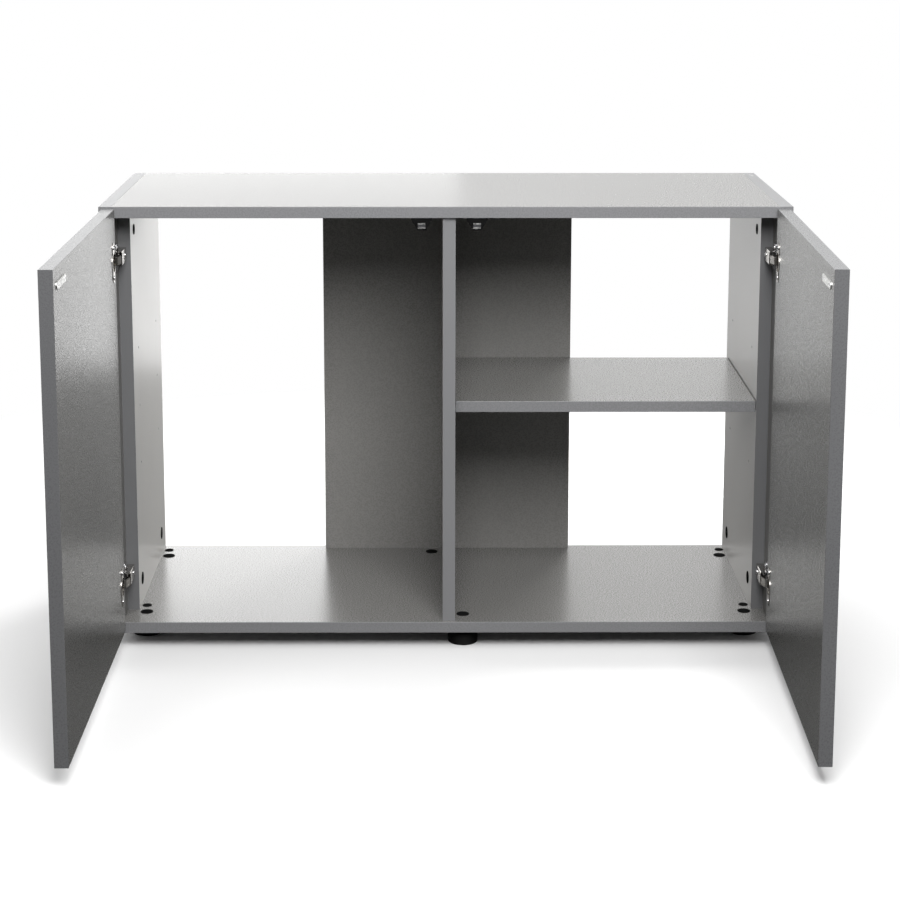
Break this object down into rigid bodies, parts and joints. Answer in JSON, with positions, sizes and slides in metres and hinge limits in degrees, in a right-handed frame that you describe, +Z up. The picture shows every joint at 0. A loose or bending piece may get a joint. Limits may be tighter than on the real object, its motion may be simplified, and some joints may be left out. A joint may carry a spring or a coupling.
{
  "type": "aquarium stand cabinet",
  "caption": "Low board cabinet that carries an aquarium: doors on concealed hinges, a divider, a loose shelf on pins, an open back with a centre panel, and levelling feet.",
  "frame": {"origin": "under the centre of the box around the cabinet with its doors open, on the floor", "axes": "+X to the right as seen from the front, +Y from the open doors to the back, +Z up"},
  "size_m": [1.2, 1.0532, 0.8],
  "materials": {
    "laminate": "grey laminated board, semi-gloss with a fine pearl grain",
    "beech": "raw",
    "black_plastic": "satin",
    "magnet": "matt",
    "nickel": "nickel plated, satin",
    "zinc": "zinc plated"
  },
  "bodies": {
    "carcass": {"back_panel": "laminate", "base_cam_bolts": "zinc", "base_cams": "zinc", "base_caps_large": "black_plastic", "base_caps_small": "black_plastic", "base_panel": "laminate", "catch_magnets": "magnet", "catch_poles": "zinc", "catch_screws": "zinc", "divider": "laminate", "dowels": "beech", "foot_sockets": "black_plastic", "hinge_arm_pins": "zinc", "hinge_arm_screws": "zinc", "inner_side_left": "laminate", "inner_side_right": "laminate", "left_catch_housing": "black_plastic", "left_lower_hinge_arm": "nickel", "left_lower_mounting_plate": "zinc", "left_upper_hinge_arm": "nickel", "left_upper_mounting_plate": "zinc", "mounting_plate_screws": "zinc", "outer_side_left": "laminate", "outer_side_right": "laminate", "right_catch_housing": "black_plastic", "right_lower_hinge_arm": "nickel", "right_lower_mounting_plate": "zinc", "right_upper_hinge_arm": "nickel", "right_upper_mounting_plate": "zinc", "shelf_pins": "zinc", "side_caps": "black_plastic", "side_screws": "zinc", "top_panel": "laminate"},
    "left_links": {"left_lower_hinge_link": "nickel", "left_upper_hinge_link": "nickel"},
    "left_leaf": {"left_door": "laminate", "left_hinge_cup_pins": "zinc", "left_hinge_cup_screws": "zinc", "left_lower_hinge_cup": "nickel", "left_strike_plate": "zinc", "left_strike_screws": "zinc", "left_upper_hinge_cup": "nickel"},
    "right_links": {"right_lower_hinge_link": "nickel", "right_upper_hinge_link": "nickel"},
    "right_leaf": {"right_door": "laminate", "right_hinge_cup_pins": "zinc", "right_hinge_cup_screws": "zinc", "right_lower_hinge_cup": "nickel", "right_strike_plate": "zinc", "right_strike_screws": "zinc", "right_upper_hinge_cup": "nickel"},
    "loose_shelf": {"shelf": "laminate"},
    "foot_back_left_body": {"foot_back_left": "black_plastic"},
    "foot_back_middle_body": {"foot_back_middle": "black_plastic"},
    "foot_back_right_body": {"foot_back_right": "black_plastic"},
    "foot_front_left_body": {"foot_front_left": "black_plastic"},
    "foot_front_middle_body": {"foot_front_middle": "black_plastic"},
    "foot_front_right_body": {"foot_front_right": "black_plastic"}
  },
  "joints": [
    {"name": "left_link_swing", "type": "hinge", "parent": "carcass", "child": "left_links", "pos_m": [-0.569, 0.09014, 0], "axis": [0, 0, 1], "range_deg": [-31.5, 3.5]},
    {"name": "left_door_swing", "type": "hinge", "parent": "left_links", "child": "left_leaf", "pos_m": [-0.5758, 0.062, 0], "axis": [0, 0, 1], "range_deg": [-15.5, 123.5]},
    {"name": "right_link_swing", "type": "hinge", "parent": "carcass", "child": "right_links", "pos_m": [0.569, 0.09014, 0], "axis": [0, 0, -1], "range_deg": [-30.98, 4.03]},
    {"name": "right_door_swing", "type": "hinge", "parent": "right_links", "child": "right_leaf", "pos_m": [0.57606, 0.06206, 0], "axis": [0, 0, -1], "range_deg": [-17.52, 121.48]},
    {"name": "shelf_pull_out", "type": "slide", "parent": "carcass", "child": "loose_shelf", "axis": [0, -1, 0], "range_m": [0, 0.068]},
    {"name": "foot_back_left_turn", "type": "hinge", "parent": "carcass", "child": "foot_back_left_body", "pos_m": [-0.5455, 0.497, 0], "axis": [0, 0, 1], "range_deg": [-360, 1440]},
    {"name": "foot_back_middle_turn", "type": "hinge", "parent": "carcass", "child": "foot_back_middle_body", "pos_m": [-0.025, 0.4865, 0], "axis": [0, 0, 1], "range_deg": [-360, 1440]},
    {"name": "foot_back_right_turn", "type": "hinge", "parent": "carcass", "child": "foot_back_right_body", "pos_m": [0.5455, 0.497, 0], "axis": [0, 0, 1], "range_deg": [-360, 1440]},
    {"name": "foot_front_left_turn", "type": "hinge", "parent": "carcass", "child": "foot_front_left_body", "pos_m": [-0.5455, 0.169, 0], "axis": [0, 0, 1], "range_deg": [-360, 1440]},
    {"name": "foot_front_middle_turn", "type": "hinge", "parent": "carcass", "child": "foot_front_middle_body", "pos_m": [0.031, 0.1195, 0], "axis": [0, 0, 1], "range_deg": [-360, 1440]},
    {"name": "foot_front_right_turn", "type": "hinge", "parent": "carcass", "child": "foot_front_right_body", "pos_m": [0.5455, 0.169, 0], "axis": [0, 0, 1], "range_deg": [-360, 1440]}
  ],
  "couplings": [
    {"joint": "left_door_swing", "follows": "left_link_swing", "ratio": -3.8569},
    {"joint": "right_door_swing", "follows": "right_link_swing", "ratio": -3.8569}
  ]
}
